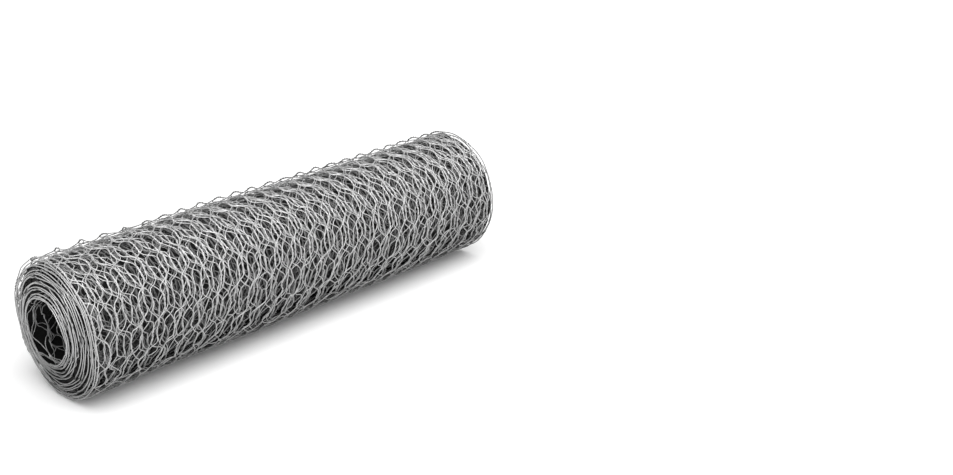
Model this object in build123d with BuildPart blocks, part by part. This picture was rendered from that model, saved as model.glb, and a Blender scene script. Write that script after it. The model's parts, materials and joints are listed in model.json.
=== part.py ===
"""A roll of hexagonal wire netting (chicken wire), lying on its side on the floor.

The netting is one long strip, wound on itself round an open bore. The roll is taken
here as one closed body, turned about the roll's axis. Each turn shows at both ends as
a lip, as thick as the wire along the edge of the strip, with an open groove between
one turn and the next. The turns lie close together in groups, and the grooves between
two groups are wider and deeper.
The roll has telescoped a little, as rolls do when they are handled: the inner turns
stand out at the -X end, and the outer turns stand out at the +X end.

Millimetres. X is along the roll, Z is up, and the origin is on the floor under the
middle of the roll.
"""

import os

from build123d import *

# The netting
mesh_size = 25.0  # across one cell, between its two twisted sides
cells_across = 24  # cells from one edge of the strip to the other
edge_wire_diameter = 1.3  # a little thicker than the wire of the mesh

# The roll
bore_diameter = 70.0
turn_count = 15
turns_in_group = 4  # counted from the outside, so that the group at the bore has what is left
turn_gap = 1.1  # free space between the edge wires of two turns in a group
group_gap = 4.8  # free space between two groups
telescope = 12.6  # how far the innermost turn has slid past the outermost
groove_depth = 5.0  # how deep the space between two turns is open at the ends
group_groove_depth = 12.0
rim_chamfer = 0.45  # the rounding of the edge wires where the bore and the outside begin

netting_width = mesh_size * cells_across
bore_radius = bore_diameter / 2


def starts_group(turn):
    """Whether a group of turns begins with this one. Turns are counted from 0, at the bore."""
    return turn > 0 and (turn_count - turn) % turns_in_group == 0


def gap_before(turn):
    """The free space between a turn and the one inside it."""
    return group_gap if starts_group(turn) else turn_gap


def turn_radius(turn):
    """The radius of the inner side of a turn."""
    gaps = sum(gap_before(outer) for outer in range(1, turn + 1))
    return bore_radius + turn * edge_wire_diameter + gaps


outer_radius = turn_radius(turn_count - 1) + edge_wire_diameter


def turn_shift(turn):
    """How far a turn has slid along the roll: towards -X for the inner turns, +X for the outer ones."""
    return telescope * (turn / (turn_count - 1) - 0.5)


def turn_lip(turn, side):
    """The two corners of one turn's edge. side is -1 for the -X end of the roll and +1 for the +X end."""
    tip = side * netting_width / 2 + turn_shift(turn)
    inner = turn_radius(turn)
    return [(tip, inner), (tip, inner + edge_wire_diameter)]


def groove_bottom(turn, side):
    """The bottom of the groove between a turn and the one inside it."""
    shift = (turn_shift(turn - 1) + turn_shift(turn)) / 2
    middle = turn_radius(turn) - gap_before(turn) / 2
    depth = group_groove_depth if starts_group(turn) else groove_depth
    return (side * (netting_width / 2 - depth) + shift, middle)


def end_outline(side):
    """The lips and grooves of one end, from the bore to the outside."""
    points = turn_lip(0, side)
    for turn in range(1, turn_count):
        points.append(groove_bottom(turn, side))
        points += turn_lip(turn, side)
    return points


# Half of the roll's section, in the upright plane through its axis: X along the roll, Y along the radius.
section_plane = Plane(origin=(0, 0, outer_radius), x_dir=(1, 0, 0), z_dir=(0, -1, 0))
roll_axis = Axis((0, 0, outer_radius), (1, 0, 0))

with BuildPart() as netting_roll:
    with BuildSketch(section_plane) as half_section:
        with BuildLine():
            Polyline(*end_outline(1), *reversed(end_outline(-1)), close=True)
        make_face()
        rings = half_section.vertices().group_by(Axis.Y)
        chamfer(rings[0] + rings[-1], length=rim_chamfer)
    revolve(axis=roll_axis)

netting_roll.part.label = "netting_roll"

os.makedirs("parts", exist_ok=True)
export_step(netting_roll.part, "parts/netting_roll.step")
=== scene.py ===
"""A roll of galvanised hexagonal wire netting, lying on its side on a pale floor.

The netting is made as it is woven: long wires that zigzag along the strip, each one twisted in
turn with the wire on its left and the wire on its right. The twists lie in columns across the
strip. A thicker edge wire runs along each side of the strip, and the outermost wire of the
netting is twisted with it in every second column. The strip is then wound on itself into the
roll. Its turns have slid along the roll and lean a little, the outermost one stands off the
others, and every wire is uneven. The space between the bore and the outer turns, too deep to be
seen into, is one body in painted shade: near-black, with dim netting drawn on it.

Every wire carries the share of the light taken to reach it, in an attribute that the zinc reads: painted
shade, darkening the zinc between the turns, on the roll's dark side, in the bore and on each wire's inner
side.

Metres. X is along the roll, Z is up, and the origin is on the floor under the middle of the roll.
Angles round the roll start at its front, -Y, and go over the top. Turns are counted from the
bore. A place on the flat strip is told by how far it is along the strip from the bore (strip),
across it from its middle (width) and out of it (out).
"""

import json
import math

import bmesh
import bpy
import numpy as np
from mathutils import Matrix, Vector


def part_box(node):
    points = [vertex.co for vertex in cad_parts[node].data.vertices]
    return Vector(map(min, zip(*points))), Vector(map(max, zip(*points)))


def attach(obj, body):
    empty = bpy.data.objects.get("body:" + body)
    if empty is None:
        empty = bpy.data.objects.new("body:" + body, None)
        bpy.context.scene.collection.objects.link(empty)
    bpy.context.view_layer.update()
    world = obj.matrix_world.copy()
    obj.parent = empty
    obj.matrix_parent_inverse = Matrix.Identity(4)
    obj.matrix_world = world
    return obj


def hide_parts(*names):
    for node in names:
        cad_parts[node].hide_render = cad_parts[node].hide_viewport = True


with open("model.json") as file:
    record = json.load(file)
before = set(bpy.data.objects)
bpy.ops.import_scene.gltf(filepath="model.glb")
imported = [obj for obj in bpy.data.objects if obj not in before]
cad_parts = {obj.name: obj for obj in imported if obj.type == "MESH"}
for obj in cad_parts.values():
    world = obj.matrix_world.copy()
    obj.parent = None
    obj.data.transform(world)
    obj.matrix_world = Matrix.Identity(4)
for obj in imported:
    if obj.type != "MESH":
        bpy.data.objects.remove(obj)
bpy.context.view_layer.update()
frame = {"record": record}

MM = 0.001
FULL_TURN = 2 * math.pi
WHITE = (1, 1, 1, 1)

# The netting
mesh_size = 25 * MM  # across one cell, between its two twisted sides
cells_across = 24
column_pitch = 32.73 * MM  # along the strip, from one column of twists to the next
twist_length = 18.1 * MM
wire_radius = 0.55 * MM
edge_wire_radius = 0.65 * MM
wire_clearance = 0.02 * MM  # between two wires that are twisted together
corner_share = 0.7  # of a slanted stretch, the part that bends out of the twist
near_edge_scallop = 0.2 * MM  # the netting pulls the edge wire in where they are twisted together
far_edge_scallop = 0.6 * MM

# The roll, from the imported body
low_corner, high_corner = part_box("netting_roll")
roll_mounts = {mount["name"]: mount for mount in frame["record"]["mounts"]}
bore_radius = roll_mounts["bore"]["dims"]["r_mm"] * MM
outer_radius = (high_corner.y - low_corner.y) / 2
axis_height = (high_corner.z + low_corner.z) / 2
netting_width = mesh_size * cells_across
telescope = (high_corner.x - low_corner.x) - netting_width

# The winding
turn_count = 15
last_turn = turn_count - 1  # where the outermost turn begins
turns_in_group = 4  # the turns lie close together in groups, counted from the outside
group_gap = 2.6 * MM  # further apart than the other turns
group_step = 0.2  # turns over which the strip climbs from one group to the next
tail_angle = math.radians(270)  # where the outer end of the strip lies
steps_per_turn = 400  # in which the length of the wound strip is measured

# The outermost turn stands off the others, behind the top of the roll
loose_middle = math.radians(140)
loose_spread = math.radians(70)
loose_lift = 1.0 * MM  # of the outermost turn
loose_wave = 1.6 * MM  # its twists stand out further, and the wires between them less
loose_sink = 2.8 * MM  # of the turns under it
loose_at_edge = 0.3  # of that, how much is left at the edge of the netting
loose_reach = 8 * MM  # from the edge, where it is all there

# The cells of a turn lie beside the cells of the turn under it
turn_slide = 4.92 * MM  # from one turn to the next, along the roll
slide_step = 0.3  # turns over which the strip slides, under the roll
slide_reach = 2.5 * mesh_size  # from the edge of the netting, which stays where it is

# The netting leans where it comes up from under the roll
lean = 21 * MM  # along the roll, from under it to the top of its front
lean_angles = np.radians((-50, 40, 120, 270))  # where it begins and ends, in front and behind
lean_reach = 110 * MM  # from the edge of the netting, which doesn't lean

# Uneven netting, as a spread
drift_round = 2.7 * MM  # of wide stretches of the netting
drift_along_roll = 0.1 * MM
cell_uneven = 0.4 * MM
wire_uneven = 0.6 * MM
low_uneven = 1.5 * MM  # more, under the roll
bore_uneven = 2.0 * MM  # more, at the bore
bore_crumple = 1.6 * MM  # of the innermost turns
crumpled_turns = 1.5
wire_uneven_out = 0.4 * MM
edge_uneven_out = 0.65 * MM
edge_uneven_along_roll = 0.3 * MM
lump_height = 0.5 * MM
wave_rates = (0.7, 1.4)  # how many times shorter a wave is than its size says, from and to
lump_rates = (0.5, 1)  # the same for how the lumps change from turn to turn
wave_seed = 805

# Away from the ends, the outer turns lie pressed together
pressed_from = 5  # turns from the bore
pressed_pitch = 1.16 * MM
pressed_start = 1.5 * MM  # from the edge of the netting
pressed_full = 9 * MM
pressed_at_far_end = 0.5  # at the +X end, the turns are partly pressed together up to the edge
far_end_turns = 5  # over which that begins

# The body between the bore and the outer turns
body_inner_radius = 44.5 * MM
body_outer_radius = 67.3 * MM
body_rim_width = 7 * MM  # near the ends, where the turns aren't pressed together
body_near_rim_radius = 71.5 * MM
body_near_recess = 4 * MM  # from the edge of the netting
body_far_rim_radius = 76 * MM
body_far_recess = 3 * MM
body_facets = 192

# Painted shade between the turns: the share of the light taken to reach a wire, painted into its zinc
half_light_turns = 6.2  # under so many turns, half of the light is left
shade_growth = 4  # how suddenly the light is lost from turn to turn
dark_side_light = 0.48  # under the roll and behind it, the share on the outermost turn
dark_side_half_light_turns = 2.5
bright_side_angles = np.radians((-90, -50, -15, 30, 60, 95, 115, 150, 240, 270))
bright_side_shares = (0.3, 0, 0.4, 0.8, 1, 1, 0.8, 0.9, 0.7, 0.3)  # there, from 0 on the dark side to 1
standing_off_light = 0.4  # on the outermost turn, where it stands off the others
standing_off_middle = math.radians(125)
standing_off_spread = math.radians(30)
wire_side_light = 0.5  # on the side of a wire that faces the middle of the roll
bore_turns = 3  # the innermost turns, which are lit from the bore
bore_turn_light = 0.9  # of the light on a turn, how much reaches the next one out
deep_bore_light = 0.7  # of the light at the mouth of the bore, how much is left deep inside
bore_light_reach = 90 * MM
edge_wire_light = 0.8
far_rim_light = 0.42  # on the far edge wire of the outermost turns
far_rim_turns = 3
edge_wire_dark_side_light = 0.6
end_light = 0.45  # on the deep turns, from past the ends of the roll
end_light_reach = 3 * MM  # how far in from the ends that goes

# The zinc
blotches_per_metre = 160
blotch_edges = (0.35, 0.65)  # of the noise, where the blotches are darkest and brightest
darkest_zinc = (0.82, 0.82, 0.82, 1)
smoothest_zinc = 0.3
roughest_zinc = 0.45
zinc_specular = 0.5

# The netting that is drawn on the body, dimmed turn by turn as painted shade
drawn_turns = 5
drawn_columns = 16  # of twists, round the roll
drawn_turn_shift = 0.37  # from one turn to the next, in columns and in cells
drawn_wire_width = 1.6 * wire_radius
drawn_swing = 0.25  # of a cell, how far a wire swings to each side
drawn_straightness = 1.8  # how suddenly a wire swings over
outermost_drawn_light = 0.42
next_drawn_light = 0.8  # of the light on a drawn turn, how much reaches the turn under it
gap_light = 0.012  # between the drawn wires
bends_per_metre = 28
bend_reach = 20 * MM

# The studio
floor_reach = 20
floor_glow = 0.08  # for the camera, so that the floor is as white as the background
room_light = 0.4
eye_level_reach = 0.12  # the slope up to which metal and glass show the white background
lamp_strength = 2.8
lamp_softness = math.radians(60)
lamp_direction = Vector((0.15, 0.45, -0.9))

# The camera, fitted to the outline of the roll in the photograph
camera_azimuth = math.radians(-47.0)
camera_elevation = math.radians(21.57)
camera_aim = Vector((0.35733, 0, -0.00299))
camera_distance = 1.94269
sensor_width_mm = 36
focal_length_mm = 52.64
farthest_seen = 100

first_radius = bore_radius + edge_wire_radius
last_radius = outer_radius - edge_wire_radius
slant_length = column_pitch - twist_length
twist_reach = wire_radius + wire_clearance
edge_reach = (wire_radius + edge_wire_radius) / 2 + wire_clearance
edge_middle = netting_width / 2 - edge_reach - edge_wire_radius  # the middle of the edge twists

random_numbers = np.random.default_rng(wave_seed)


# Uneven netting
def sum_of_waves(rates, starts):
    """Waves added together, with a spread of about 1. Each wave has a rate for each place it is asked at."""

    def height(*places):
        total = np.zeros(np.broadcast(*places).shape)
        for rates_of_wave, start in zip(zip(*rates), starts):
            total += np.sin(sum(rate * place for rate, place in zip(rates_of_wave, places)) + start)
        return total * math.sqrt(2 / len(starts))

    return height


def ripple(wave_count, along, across):
    """A smooth uneven surface over the strip. The lengths are of its waves."""
    heading = random_numbers.uniform(0, FULL_TURN, wave_count)
    rate = random_numbers.uniform(*wave_rates, wave_count)
    starts = random_numbers.uniform(0, FULL_TURN, wave_count)
    per_along = FULL_TURN * np.cos(heading) * rate / along
    per_across = FULL_TURN * np.sin(heading) * rate / across
    return sum_of_waves((per_along, per_across), starts)


def lumps(wave_count, waves_round_most, turn_change, across):
    """Lumps that pass from turn to turn, over the angle, the turns and the width.

    turn_change is how far the waves move on from one turn to the next, as an angle.
    """
    per_angle = random_numbers.integers(1, waves_round_most + 1, wave_count)
    per_turn = turn_change * random_numbers.uniform(*lump_rates, wave_count)
    per_turn = per_turn * random_numbers.choice((-1, 1), wave_count)
    per_width = FULL_TURN * random_numbers.uniform(-1, 1, wave_count) / across
    starts = random_numbers.uniform(0, FULL_TURN, wave_count)
    return sum_of_waves((per_angle, per_turn, per_width), starts)


drift_wave_round = lumps(wave_count=12, waves_round_most=3, turn_change=0.9, across=260 * MM)
drift_wave_along = lumps(wave_count=12, waves_round_most=3, turn_change=0.9, across=260 * MM)
cell_wave_round = ripple(wave_count=14, along=70 * MM, across=60 * MM)
cell_wave_along = ripple(wave_count=14, along=60 * MM, across=70 * MM)
wire_wave_round = ripple(wave_count=16, along=24 * MM, across=22 * MM)
wire_wave_along = ripple(wave_count=16, along=22 * MM, across=24 * MM)
wire_wave_out = ripple(wave_count=16, along=30 * MM, across=26 * MM)
edge_wave_out = ripple(wave_count=12, along=60 * MM, across=900 * MM)
edge_wave_along = ripple(wave_count=12, along=45 * MM, across=900 * MM)
roll_lumps = lumps(wave_count=16, waves_round_most=6, turn_change=0.4, across=200 * MM)
crumple_round = ripple(wave_count=16, along=13 * MM, across=13 * MM)
crumple_along = ripple(wave_count=16, along=13 * MM, across=13 * MM)
crumple_out = ripple(wave_count=16, along=14 * MM, across=14 * MM)


# Winding the strip
def smooth_step(share):
    """From 0 to 1, slowly at both ends."""
    share = np.clip(share, 0, 1)
    return share * share * (3 - 2 * share)


def turn_radius(turn):
    """The radius of the strip after so many turns, at the ends of the roll."""
    group_starts = np.arange(turn_count % turns_in_group, last_turn, turns_in_group)
    climbed = np.zeros_like(turn)
    for start in group_starts:
        climbed = climbed + group_gap * smooth_step((turn - start) / group_step + 0.5)
    even = last_radius - first_radius - group_gap * len(group_starts)
    return first_radius + even * turn / turn_count + climbed


def pressed_radius(turn):
    """The radius of the strip away from the ends, where the outer turns lie pressed together."""
    pressed = last_radius - pressed_pitch * (turn_count - turn)
    return np.where(turn > pressed_from, pressed, turn_radius(turn))


turn_table = np.linspace(0, turn_count, steps_per_turn * turn_count + 1)
radius_table = pressed_radius(turn_table)
step_lengths = math.pi * (radius_table[1:] + radius_table[:-1]) / steps_per_turn
length_table = np.concatenate([[0], np.cumsum(step_lengths)])


def turn_at(strip):
    """How many turns the strip has made."""
    return np.interp(strip, length_table, turn_table)


def angle_at(turn):
    """The angle round the roll after so many turns, in an even roll."""
    return tail_angle - FULL_TURN * (turn_count - turn)


def from_under(angle):
    """The same angle, between -90 and 270 degrees, which are both under the roll."""
    return (angle + math.pi / 2) % FULL_TURN - math.pi / 2


def angle_from(middle, angle):
    """How far an angle lies from a middle one, the short way round."""
    return (angle - middle + math.pi) % FULL_TURN - math.pi


def inside_edge(width):
    """How far in a place lies from the nearer edge of the netting."""
    return netting_width / 2 - np.abs(width)


def low_side(angle):
    """1 under the roll and 0 from the upper part of its front to behind its top."""
    front_low, front_high, back_high, back_low = lean_angles
    front = 1 - smooth_step((from_under(angle) - front_low) / (front_high - front_low))
    back = smooth_step((from_under(angle) - back_high) / (back_low - back_high))
    return np.maximum(front, back)


def slide(turn):
    """How far a turn has slid along the roll, by half a cell at most either way."""
    before = np.floor(turn - 0.5)
    share = smooth_step((turn - before - 1) / slide_step + 0.5)
    slid_before = (turn_slide * before) % mesh_size
    slid_after = (turn_slide * (before + 1)) % mesh_size
    return slid_before * (1 - share) + slid_after * share - mesh_size / 2


def looseness(turn, angle, strip, width):
    """How far a turn has moved out, or in, where the outermost turn stands off the others."""
    side = np.exp(-((angle_from(loose_middle, angle) / loose_spread) ** 2))
    outermost = np.clip((turn - last_turn) / group_step + 0.5, 0, 1)
    side = side * (loose_at_edge + (1 - loose_at_edge) * smooth_step(inside_edge(width) / loose_reach))
    wave = -np.cos(FULL_TURN * strip / column_pitch)
    off = (loose_lift + loose_wave * wave) * outermost
    return side * (off - loose_sink * (1 - outermost) * turn / turn_count)


def pressing(turn, width):
    """How far a turn is pushed out, away from the ends of the roll."""
    middle = smooth_step((inside_edge(width) - pressed_start) / (pressed_full - pressed_start))
    at_far_end = pressed_at_far_end * np.clip((turn - pressed_from) / far_end_turns, 0, 1)
    middle = np.where(width > 0, np.maximum(middle, at_far_end), middle)
    return middle * (pressed_radius(turn) - turn_radius(turn))


def crumpling(turn):
    """How crumpled a turn is: much at the bore and not at all further out."""
    return bore_crumple * np.exp(-((turn / crumpled_turns) ** 2))


def wire_unevenness(turn, angle):
    """How uneven the wires are: more so under the roll and at the bore."""
    return wire_uneven + low_uneven * low_side(angle) + bore_uneven * np.exp(-turn)


def uneven_round(strip, width, turn, angle):
    """How far a point is out of place round the roll."""
    wire_moved = wire_unevenness(turn, angle) * wire_wave_round(strip, width)
    moved = cell_uneven * cell_wave_round(strip, width) + wire_moved
    moved = moved + drift_round * drift_wave_round(angle, turn, width)
    return moved + crumpling(turn) * crumple_round(strip, width)


def uneven_along(strip, width, turn, angle):
    """How far a point away from the edges is out of place along the roll."""
    wire_moved = wire_unevenness(turn, angle) * wire_wave_along(strip, width)
    moved = cell_uneven * cell_wave_along(strip, width) + wire_moved
    moved = moved + drift_along_roll * drift_wave_along(angle, turn, width)
    return moved + crumpling(turn) * crumple_along(strip, width)


def place_along(strip, width, turn, angle):
    """The place of a point along the roll."""
    off_edge = np.clip(inside_edge(width) / mesh_size, 0, 1)
    slide_share = np.clip(inside_edge(width) / slide_reach, 0, 1)
    lean_share = np.clip(inside_edge(width) / lean_reach, 0, 1)
    moved = uneven_along(strip, width, turn, angle) + lean * lean_share * (0.5 - low_side(angle))
    moved = moved * off_edge + edge_uneven_along_roll * edge_wave_along(strip, width) * (1 - off_edge)
    return width + slide(turn) * slide_share + moved + telescope * (turn / turn_count - 0.5)


def radius_at(strip, width, turn, angle):
    """How far a point lies from the axis of the roll."""
    off_edge = np.clip(inside_edge(width) / mesh_size, 0, 1)
    radius = turn_radius(turn) + pressing(turn, width) + looseness(turn, angle, strip, width)
    radius = radius + lump_height * roll_lumps(angle, turn, width)
    radius = radius + wire_uneven_out * wire_wave_out(strip, width) * off_edge
    radius = radius + edge_uneven_out * edge_wave_out(strip, width) * (1 - off_edge)
    return radius + crumpling(turn) * np.abs(crumple_out(strip, width)) * off_edge


def wind(strip, width, out):
    """The place in the roll of a point of the flat strip. Nothing goes through the floor."""
    turn = turn_at(strip)
    even_angle = angle_at(turn)
    angle = even_angle + uneven_round(strip, width, turn, even_angle) / turn_radius(turn)
    radius = radius_at(strip, width, turn, angle) + out
    x = place_along(strip, width, turn, even_angle)
    y = -radius * np.cos(angle)
    z = np.maximum(axis_height + radius * np.sin(angle), wire_radius)
    return np.stack([x, y, z], axis=-1)


# Painted shade
def bright_side(angle):
    """1 on the side of the roll that faces the lamp and 0 on the dark side."""
    return np.interp(from_under(angle), bright_side_angles, bright_side_shares)


def standing_off(angle, turns_over_it):
    """1 on the outermost turn where it stands off the others, and 0 elsewhere."""
    from_middle = angle_from(standing_off_middle, angle)
    return np.exp(-((from_middle / standing_off_spread) ** 2)) * (turns_over_it == 0)


def light_from_outside(turn, width):
    """The share of the light that reaches a point through the turns over it, or past the end of the roll."""
    angle = angle_at(turn)
    bright = bright_side(angle)
    turns_over_it = np.maximum(np.floor(turn_count - turn), 0)
    half_light = dark_side_half_light_turns + (half_light_turns - dark_side_half_light_turns) * bright
    through_turns = 1 / (1 + (turns_over_it / half_light) ** shade_growth)
    past_end = end_light * np.exp(-((inside_edge(width) / end_light_reach) ** 2))
    on_side = dark_side_light + (1 - dark_side_light) * bright
    off_others = 1 - (1 - standing_off_light) * standing_off(angle, turns_over_it)
    return np.maximum(through_turns, past_end) * on_side * off_others


def light_from_bore(turn, width):
    """The share of the light in the bore that reaches a point."""
    depth_light = deep_bore_light + (1 - deep_bore_light) * np.exp(-inside_edge(width) / bore_light_reach)
    return bore_turn_light**turn * depth_light


def light_on_netting(strip, width):
    """The share of the light that reaches a point of the flat strip, once it is wound."""
    turn = turn_at(strip)
    from_outside = light_from_outside(turn, width)
    from_bore = light_from_bore(turn, width)
    return np.where(turn < bore_turns, np.maximum(from_outside, from_bore), from_outside)


def light_on_edge_wire(side, strip):
    """The share of the light that reaches the edge wire on one side, -1 or +1."""
    turn = turn_at(strip)
    at_far_rim = (side > 0) & (turn > turn_count - far_rim_turns)
    bright = bright_side(angle_at(turn))
    on_side = edge_wire_dark_side_light + (1 - edge_wire_dark_side_light) * bright
    return np.where(at_far_rim, far_rim_light, edge_wire_light) * on_side


# Straight wires, which are then bent
wire_spacing = 4  # from one straight wire to the next, in radii of a wire


def straight_wires(wire_count, ring_count, sides):
    """Straight wires side by side: X counts the rings of a wire, and Y the wires, a spacing apart."""
    rods = bmesh.new()
    facing_x = Matrix.Rotation(math.pi / 2, 4, "Y")
    bmesh.ops.create_circle(rods, cap_ends=True, radius=1, segments=sides, matrix=facing_x)
    grown = bmesh.ops.extrude_face_region(rods, geom=rods.faces[:])
    far_end = [part for part in grown["geom"] if isinstance(part, bmesh.types.BMVert)]
    bmesh.ops.translate(rods, verts=far_end, vec=(ring_count - 1, 0, 0))
    lengthwise = [edge for edge in rods.edges if round(edge.verts[0].co.x) != round(edge.verts[1].co.x)]
    bmesh.ops.subdivide_edges(rods, edges=lengthwise, cuts=ring_count - 2, use_grid_fill=False)
    bmesh.ops.recalc_face_normals(rods, faces=rods.faces[:])
    if wire_count > 1:
        bmesh.ops.spin(
            rods,
            geom=rods.verts[:] + rods.edges[:] + rods.faces[:],
            cent=(0, 0, 0),
            axis=(1, 0, 0),
            dvec=(0, wire_spacing, 0),
            angle=0,
            steps=wire_count - 1,
            use_duplicate=True,
        )
    return rods


def outward(centres):
    """The direction away from the roll's axis at each point."""
    away = centres - np.array([0, 0, axis_height])
    away[..., 0] = 0
    return away / np.linalg.norm(away, axis=-1, keepdims=True)


def directions_round(centres):
    """The directions sideways and outward at each point of the wires, square to the wire."""
    ahead = np.gradient(centres, axis=1)
    ahead /= np.linalg.norm(ahead, axis=2, keepdims=True)
    away = outward(centres)
    out = away - ahead * np.sum(away * ahead, axis=2, keepdims=True)
    out /= np.linalg.norm(out, axis=2, keepdims=True)
    return np.cross(out, ahead), out


def bent_wires(name, centres, light, radius, sides):
    """Round wires that follow centres, an array of [wire, ring, xyz] points, with the painted light on each
    ring, darker again on each wire's inner side as painted shade.
    """
    wire_count, ring_count = centres.shape[:2]
    rods = straight_wires(wire_count, ring_count, sides)
    mesh = bpy.data.meshes.new(name)
    rods.to_mesh(mesh)
    rods.free()
    straight = np.zeros(len(mesh.vertices) * 3)
    mesh.vertices.foreach_get("co", straight)
    straight = straight.reshape(-1, 3)
    ring = np.rint(straight[:, 0]).astype(int)
    wire = np.rint(straight[:, 1] / wire_spacing).astype(int)
    sideways = straight[:, 1] - wire_spacing * wire
    outwards = straight[:, 2]
    beside, out = directions_round(centres)
    offset = beside[wire, ring] * sideways[:, None] + out[wire, ring] * outwards[:, None]
    mesh.vertices.foreach_set("co", (centres[wire, ring] + radius * offset).ravel())
    # Painted shade: the side of each wire that faces the middle of the roll is darker
    painted_side_shade = wire_side_light + (1 - wire_side_light) * (outwards + 1) / 2
    mesh.attributes.new("light", "FLOAT", "POINT").data.foreach_set("value", light[wire, ring] * painted_side_shade)
    mesh.update()
    return mesh


# Weaving the netting
def eased(share):
    """From 0 to 1, first bending and then straight."""
    bent = share * share / (2 * corner_share)
    straight = share - corner_share / 2
    return np.where(share < corner_share, bent, straight) / (1 - corner_share / 2)


def twist(strip, twists):
    """Whether a place is in an odd column, the angle of its twist, and how far it has left it, up to 1."""
    column = np.floor(strip / column_pitch)
    odd_column = column % 2 == 1
    from_middle = strip - (column + 0.5) * column_pitch
    sense = np.where(odd_column, -1, 1)
    share = np.clip(from_middle / twist_length + 0.5, 0, 1)
    leaving = np.clip((np.abs(from_middle) - twist_length / 2) / (slant_length / 2), 0, 1)
    return odd_column, sense * share * twists * FULL_TURN, leaving


def edge_line(side, strip):
    """How far the middle of the edge twists on one side, -1 or +1, lies from the middle of the strip."""
    scallop = near_edge_scallop if side < 0 else far_edge_scallop
    return edge_middle + scallop * np.sin(math.pi * strip / column_pitch)


def netting_wire(wire, strip, twists):
    """The flat path of one wire of the netting: its place across the strip, and out of it."""
    odd_column, angle, leaving = twist(strip, twists)
    even_stop = (wire + 1 - wire % 2) * mesh_size / 2 - netting_width / 2
    odd_stop = (wire + wire % 2) * mesh_size / 2 - netting_width / 2
    low_line = -edge_line(-1, strip)
    high_line = edge_line(1, strip)
    here = np.clip(np.where(odd_column, odd_stop, even_stop), low_line, high_line)
    there = np.clip(np.where(odd_column, even_stop, odd_stop), low_line, high_line)
    side = np.sign(here - there)  # the wire comes from the other side, so its twist starts there
    at_edge = (here == low_line) | (here == high_line)
    reach = np.where(at_edge, edge_reach, twist_reach)
    width = here + 0.5 * eased(leaving) * (there - here)
    width = width - side * reach * np.cos(angle) * (1 - leaving)
    return width, -side * reach * np.sin(angle) * (1 - leaving)


def edge_wire(side, strip, twists):
    """The flat path of the edge wire on one side, -1 or +1. It turns with the netting in odd columns."""
    odd_column, angle, _ = twist(strip, twists)
    angle = np.where(odd_column, angle, 0)
    return side * (edge_line(side, strip) + edge_reach * np.cos(angle)), side * edge_reach * np.sin(angle)


def ring_places(first_column, last_column, twist_steps, slant_steps):
    """Where the rings of a wire lie along the strip, from one column of twists to another."""
    leave = np.arange(slant_steps) / slant_steps * slant_length / 2
    turn = slant_length / 2 + np.arange(twist_steps + 1) / twist_steps * twist_length
    column = np.concatenate([leave, turn, column_pitch - leave[:0:-1]])
    places = [number * column_pitch + column for number in range(first_column, last_column)]
    return np.concatenate(places + [[last_column * column_pitch]])


def strip_places(turns, twist_steps, slant_steps):
    """Where the rings of a wire lie along the strip, between two counts of turns."""
    columns = [int(np.interp(turn, turn_table, length_table) / column_pitch) for turn in turns]
    return ring_places(columns[0], columns[1], twist_steps, slant_steps)


def finished(name, mesh, material):
    """The piece, smooth, finished and carried by the roll."""
    mesh.shade_smooth()
    mesh.materials.append(material)
    piece = bpy.data.objects.new(name, mesh)
    bpy.context.collection.objects.link(piece)
    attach(piece, "root")
    return piece


def netting(name, turns, wires, sides, twist_steps, slant_steps, twists):
    """Some wires of the netting, from one count of turns to another.

    A wire has so many sides, rings in a twist, rings in half a slanted stretch and turns in a twist.
    """
    strip = strip_places(turns, twist_steps, slant_steps)
    lines = []
    lights = []
    for wire in wires:
        width, out = netting_wire(wire, strip, twists)
        lines.append(wind(strip, width, out))
        lights.append(light_on_netting(strip, width))
    mesh = bent_wires(name, np.array(lines), np.array(lights), wire_radius, sides)
    return finished(name, mesh, zinc)


def edge_wires(name, turns, sides, twist_steps, slant_steps, twists):
    """The wires along both edges of the strip, from one count of turns to another."""
    strip = strip_places(turns, twist_steps, slant_steps)
    lines = []
    lights = []
    for side in (-1, 1):
        width, out = edge_wire(side, strip, twists)
        lines.append(wind(strip, width, out))
        lights.append(light_on_edge_wire(side, strip))
    mesh = bent_wires(name, np.array(lines), np.array(lights), edge_wire_radius, sides)
    return finished(name, mesh, zinc)


# The body between the bore and the outer turns
def body_section():
    """The corners of the body's section: along the roll, and away from its axis."""
    near_end = body_near_recess - netting_width / 2
    far_end = netting_width / 2 - body_far_recess
    return (
        (near_end, body_inner_radius),
        (near_end, body_near_rim_radius),
        (near_end + body_rim_width, body_outer_radius),
        (far_end - body_rim_width, body_outer_radius),
        (far_end, body_far_rim_radius),
        (far_end, body_inner_radius),
    )


def packed_turns_in_painted_shade():
    """The turns too deep to be seen one by one: a turned body, slid along the roll as the turns are, and
    painted near-black with dim netting as painted shade.
    """
    profile = bmesh.new()
    slide_by_radius = telescope / (last_radius - first_radius)
    middle_radius = (first_radius + last_radius) / 2
    corners = []
    for x, radius in body_section():
        slid = x + slide_by_radius * (radius - middle_radius)
        corners.append(profile.verts.new((slid, -radius, axis_height)))
    face = profile.faces.new(corners)
    outline = list(face.verts) + list(face.edges)
    bmesh.ops.delete(profile, geom=[face], context="FACES_ONLY")
    bmesh.ops.spin(
        profile,
        geom=outline,
        cent=(0, 0, axis_height),
        axis=(1, 0, 0),
        angle=FULL_TURN,
        steps=body_facets,
        use_merge=True,
    )
    bmesh.ops.recalc_face_normals(profile, faces=profile.faces[:])
    mesh = bpy.data.meshes.new("packed_turns_in_painted_shade")
    profile.to_mesh(mesh)
    profile.free()
    return finished("packed_turns_in_painted_shade", mesh, painted_shade_netting)


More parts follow.
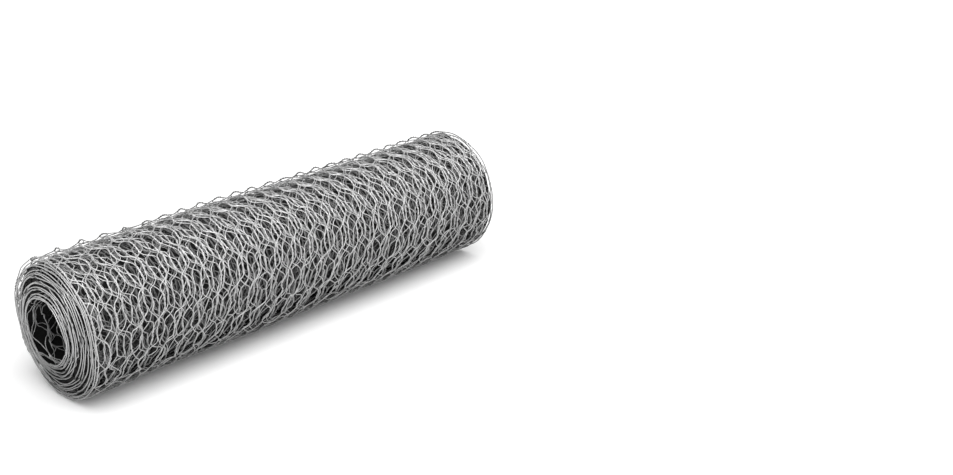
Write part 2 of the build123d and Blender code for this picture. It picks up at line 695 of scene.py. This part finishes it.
# Materials
class Maths:
    """Short calls for the sums of a node tree."""

    def __init__(self, tree):
        self.nodes = tree.nodes
        self.links = tree.links

    def feed(self, socket, value):
        """Links a value from another node, or sets a plain one."""
        if isinstance(value, bpy.types.NodeSocket):
            self.links.new(value, socket)
        else:
            socket.default_value = value

    def do(self, operation, *values, clamp=False):
        """The result of one sum."""
        node = self.nodes.new("ShaderNodeMath")
        node.operation = operation
        node.use_clamp = clamp
        for socket, value in zip(node.inputs, values):
            self.feed(socket, value)
        return node.outputs["Value"]

    def parts(self, vector):
        """The X, Y and Z of a vector, as the outputs of one node."""
        node = self.nodes.new("ShaderNodeSeparateXYZ")
        self.links.new(vector, node.inputs["Vector"])
        return node.outputs


def new_material(name):
    """A new material, the sums of its node tree and its shader."""
    material = bpy.data.materials.new(name)
    material.use_nodes = True
    return material, Maths(material.node_tree), material.node_tree.nodes["Principled BSDF"]


def zinc_blotches(maths):
    """Noise for the blotches of the zinc, from 0 to 1."""
    place = maths.nodes.new("ShaderNodeTexCoord")
    noise = maths.nodes.new("ShaderNodeTexNoise")
    noise.inputs["Scale"].default_value = blotches_per_metre
    noise.inputs["Detail"].default_value = 4
    maths.links.new(place.outputs["Object"], noise.inputs["Vector"])
    return noise.outputs["Fac"]


def zinc_colour(maths, blotches, light):
    """The grey of the zinc, darkened by the painted shade that each wire carries."""
    grey = maths.nodes.new("ShaderNodeValToRGB")
    darkest, brightest = grey.color_ramp.elements
    darkest.position, brightest.position = blotch_edges
    darkest.color = darkest_zinc
    brightest.color = WHITE
    maths.links.new(blotches, grey.inputs["Fac"])
    shaded = maths.nodes.new("ShaderNodeVectorMath")
    shaded.operation = "SCALE"
    maths.links.new(grey.outputs["Color"], shaded.inputs["Vector"])
    maths.links.new(light, shaded.inputs["Scale"])
    return shaded.outputs["Vector"]


def galvanised_wire():
    """Dull zinc on drawn wire, a little brighter and darker from place to place at random, and darkened in
    colour, tint and gleam by the painted shade that each wire carries.
    """
    material, maths, shader = new_material("galvanised_wire")
    shader.inputs["Metallic"].default_value = 0.5
    blotches = zinc_blotches(maths)
    light = maths.nodes.new("ShaderNodeAttribute")
    light.attribute_name = "light"
    colour = zinc_colour(maths, blotches, light.outputs["Fac"])
    maths.links.new(colour, shader.inputs["Base Color"])
    # Painted shade: the reflection's tint and gleam darken with the light attribute as well
    maths.links.new(colour, shader.inputs["Specular Tint"])
    gleam = maths.do("MULTIPLY", light.outputs["Fac"], zinc_specular)
    maths.links.new(gleam, shader.inputs["Specular IOR Level"])
    roughness = maths.nodes.new("ShaderNodeMapRange")
    roughness.inputs["To Min"].default_value = smoothest_zinc
    roughness.inputs["To Max"].default_value = roughest_zinc
    maths.links.new(blotches, roughness.inputs["Value"])
    maths.links.new(roughness.outputs["Result"], shader.inputs["Roughness"])
    return material


def bent_place(maths, place, turn):
    """A place, moved this way and that by noise, in another way for each drawn turn."""
    bends = maths.nodes.new("ShaderNodeTexNoise")
    bends.noise_dimensions = "4D"
    bends.inputs["Scale"].default_value = bends_per_metre
    bends.inputs["Detail"].default_value = 1
    bends.inputs["W"].default_value = turn
    maths.links.new(place, bends.inputs["Vector"])
    bent = maths.nodes.new("ShaderNodeVectorMath")
    bent.operation = "MULTIPLY_ADD"
    maths.links.new(bends.outputs["Color"], bent.inputs[0])
    bent.inputs[1].default_value = (bend_reach, bend_reach, bend_reach)
    maths.links.new(place, bent.inputs[2])
    return maths.parts(bent.outputs["Vector"])


def drawn_turn(maths, place, turn):
    """1 on the wires of one turn of netting, drawn on the body, and 0 between them."""
    shift = drawn_turn_shift * turn
    bent = bent_place(maths, place, turn)
    angle = maths.do("ARCTAN2", bent["Z"], bent["Y"])
    round_roll = maths.do("DIVIDE", angle, FULL_TURN)
    column = maths.do("MULTIPLY_ADD", round_roll, drawn_columns, shift)
    wave = maths.do("SINE", maths.do("MULTIPLY", column, math.pi))
    swing = maths.do("MULTIPLY", wave, drawn_straightness)
    swing = maths.do("MAXIMUM", maths.do("MINIMUM", swing, 1), -1)
    wire_place = maths.do("MULTIPLY_ADD", swing, drawn_swing, drawn_swing)
    along_roll = maths.do("DIVIDE", bent["X"], mesh_size)
    folded = maths.do("PINGPONG", maths.do("ADD", along_roll, shift), 0.5)
    away = maths.do("ABSOLUTE", maths.do("SUBTRACT", folded, wire_place))
    return maths.do("SUBTRACT", 1, maths.do("DIVIDE", away, drawn_wire_width / mesh_size), clamp=True)


def netting_in_the_dark():
    """Painted shade for netting too deep in the roll to be lit: dim wires painted over black, and dimmer
    wires under them.
    """
    material, maths, shader = new_material("netting_in_the_dark")
    shader.inputs["Roughness"].default_value = 0.6
    shader.inputs["Specular IOR Level"].default_value = 0.2
    place = maths.nodes.new("ShaderNodeTexCoord")
    centred = maths.nodes.new("ShaderNodeMapping")
    centred.inputs["Location"].default_value = (0, 0, -axis_height)
    maths.links.new(place.outputs["Object"], centred.inputs["Vector"])
    shade = gap_light
    for turn in range(drawn_turns):
        wires = drawn_turn(maths, centred.outputs["Vector"], turn)
        brightness = outermost_drawn_light * next_drawn_light**turn
        lit = maths.do("MULTIPLY", maths.do("SQRT", wires), brightness)
        shade = maths.do("MAXIMUM", lit, shade)
    geometry = maths.nodes.new("ShaderNodeNewGeometry")
    end_facing = maths.do("ABSOLUTE", maths.parts(geometry.outputs["Normal"])["X"])
    # Painted shade: the body is black on its two ends
    on_side = maths.do("LESS_THAN", end_facing, 0.5)  # and black on the two ends
    maths.links.new(maths.do("MULTIPLY", shade, on_side), shader.inputs["Base Color"])
    return material


# The studio
def seen_by_camera(maths):
    """1 for what the camera sees itself, and 1 for what it sees in metal or glass."""
    path = maths.nodes.new("ShaderNodeLightPath").outputs
    in_metal_or_glass = maths.do("MAXIMUM", path["Is Glossy Ray"], path["Is Transmission Ray"])
    return path["Is Camera Ray"], in_metal_or_glass


def white_floor():
    """A matt white that keeps the shadow of the roll."""
    material, maths, shader = new_material("white_floor")
    shader.inputs["Base Color"].default_value = WHITE
    shader.inputs["Roughness"].default_value = 1
    shader.inputs["Specular IOR Level"].default_value = 0
    shader.inputs["Emission Color"].default_value = WHITE
    seen = maths.do("MAXIMUM", *seen_by_camera(maths))
    maths.links.new(maths.do("MULTIPLY", seen, floor_glow), shader.inputs["Emission Strength"])
    return material


def floor():
    """The floor that the roll lies on."""
    plate = bmesh.new()
    bmesh.ops.create_grid(plate, x_segments=1, y_segments=1, size=floor_reach)
    mesh = bpy.data.meshes.new("floor")
    plate.to_mesh(mesh)
    plate.free()
    mesh.materials.append(white_floor())
    piece = bpy.data.objects.new("floor", mesh)
    bpy.context.collection.objects.link(piece)


def pale_room():
    """A pale room that the camera sees as white, and that metal and glass show as white at eye level."""
    world = bpy.data.worlds.new("pale_room")
    bpy.context.scene.world = world
    world.use_nodes = True
    maths = Maths(world.node_tree)
    room = maths.nodes["Background"]
    room.inputs["Color"].default_value = WHITE
    direction = maths.nodes.new("ShaderNodeTexCoord")
    slope = maths.parts(direction.outputs["Generated"])["Z"]
    eye_level = maths.do("SUBTRACT", 1, maths.do("DIVIDE", slope, eye_level_reach), clamp=True)
    seen, in_metal_or_glass = seen_by_camera(maths)
    white = maths.do("MAXIMUM", seen, maths.do("MULTIPLY", in_metal_or_glass, eye_level))
    strength = maths.do("MULTIPLY_ADD", white, 1 - room_light, room_light)
    maths.links.new(strength, room.inputs["Strength"])


def lamp():
    """A broad soft lamp, high on the camera's side."""
    light = bpy.data.lights.new("soft_lamp", "SUN")
    light.energy = lamp_strength
    light.angle = lamp_softness
    place = bpy.data.objects.new("soft_lamp", light)
    bpy.context.collection.objects.link(place)
    place.rotation_euler = lamp_direction.to_track_quat("-Z", "Y").to_euler()


def camera():
    """The photograph's view of the roll."""
    level = Vector((math.sin(camera_azimuth), -math.cos(camera_azimuth), 0)) * math.cos(camera_elevation)
    back = level + Vector((0, 0, math.sin(camera_elevation)))
    eye = bpy.data.cameras.new("camera")
    eye.sensor_width = sensor_width_mm
    eye.lens = focal_length_mm
    eye.clip_end = farthest_seen
    place = bpy.data.objects.new("camera", eye)
    bpy.context.collection.objects.link(place)
    place.location = camera_aim + back * camera_distance
    place.rotation_euler = (-back).to_track_quat("-Z", "Y").to_euler()
    bpy.context.scene.camera = place


camera()
pale_room()
lamp()
floor()
zinc = galvanised_wire()
painted_shade_netting = netting_in_the_dark()

# The pieces of the roll, from which turn to which. Wires that are seen better have more sides and rings.
every_wire = range(2 * cells_across)
end_wires = (0, 1, 2 * cells_across - 2, 2 * cells_across - 1)
body = packed_turns_in_painted_shade()
netting("netting_bore", (0, 3), every_wire, sides=3, twist_steps=6, slant_steps=2, twists=1)
netting("netting_ends", (3, pressed_from), end_wires, sides=3, twist_steps=6, slant_steps=2, twists=1)
netting("netting_deep", (pressed_from, 8), every_wire, sides=3, twist_steps=4, slant_steps=2, twists=1)
netting("netting_inner", (8, 11), every_wire, sides=3, twist_steps=6, slant_steps=2, twists=1)
netting("netting_middle", (11, 13), every_wire, sides=4, twist_steps=7, slant_steps=2, twists=1)
netting("netting_outer", (13, last_turn), every_wire, sides=4, twist_steps=8, slant_steps=3, twists=1)
netting(
    "netting_outermost",
    (last_turn, turn_count),
    every_wire,
    sides=4,
    twist_steps=12,
    slant_steps=3,
    twists=2,
)
edge_wires("edge_wires_inner", (0, last_turn), sides=6, twist_steps=8, slant_steps=2, twists=1)
edge_wires("edge_wires_outermost", (last_turn, turn_count), sides=6, twist_steps=12, slant_steps=3, twists=2)
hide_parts("netting_roll")

bpy.context.scene.view_settings.view_transform = "Standard"
